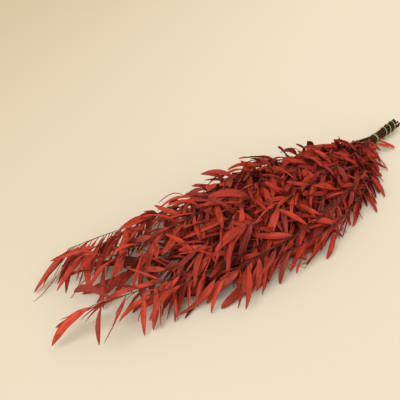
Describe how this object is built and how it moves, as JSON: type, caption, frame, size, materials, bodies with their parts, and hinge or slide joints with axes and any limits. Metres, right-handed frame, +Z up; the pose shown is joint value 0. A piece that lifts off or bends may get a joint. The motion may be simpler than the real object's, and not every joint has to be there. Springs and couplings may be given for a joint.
{
  "type": "bunch of dried eucalyptus",
  "caption": "Bunch of dried, dyed red willow eucalyptus lying on its side: dark stems held by green elastic ties, fanning out into sprays of narrow leaves.",
  "frame": {"origin": "on the surface the bunch lies on, under the middle of its bounding box", "axes": "+X from the leafy tips to the cut stem ends, +Z up from the surface, +Y to the side away from the drooping leaves"},
  "size_m": [0.741, 0.231, 0.1067],
  "materials": {
    "bark": "matte",
    "leaf": "matte",
    "elastic": "satin"
  },
  "bodies": {
    "root": {"stem_01": "bark", "stem_02": "bark", "stem_03": "bark", "stem_04": "bark", "stem_05": "bark", "stem_06": "bark", "stem_07": "bark", "stem_08": "bark", "stem_09": "bark", "stem_10": "bark", "stem_11": "bark", "stem_12": "bark", "neck_tie": "elastic", "spiral_tie": "elastic", "spray_01_1": "leaf", "spray_01_2": "leaf", "spray_01_3": "leaf", "spray_01_4": "leaf", "spray_02_1": "leaf", "spray_02_2": "leaf", "spray_02_3": "leaf", "spray_02_4": "leaf", "spray_03_1": "leaf", "spray_03_2": "leaf", "spray_03_3": "leaf", "spray_03_4": "leaf", "spray_04_1": "leaf", "spray_04_2": "leaf", "spray_04_3": "leaf", "spray_04_4": "leaf", "spray_05_1": "leaf", "spray_05_2": "leaf", "spray_05_3": "leaf", "spray_05_4": "leaf", "spray_06_1": "leaf", "spray_06_2": "leaf", "spray_06_3": "leaf", "spray_06_4": "leaf", "spray_07_1": "leaf", "spray_07_2": "leaf", "spray_07_3": "leaf", "spray_08_1": "leaf", "spray_08_2": "leaf", "spray_08_3": "leaf", "spray_09_1": "leaf", "spray_09_2": "leaf", "spray_09_3": "leaf", "spray_09_4": "leaf", "spray_10_1": "leaf", "spray_10_2": "leaf", "spray_10_3": "leaf", "spray_10_4": "leaf", "spray_11_1": "leaf", "spray_11_2": "leaf", "spray_11_3": "leaf", "spray_11_4": "leaf", "spray_12_1": "leaf", "spray_12_2": "leaf", "spray_12_3": "leaf", "spray_12_4": "leaf"}
  },
  "joints": []
}
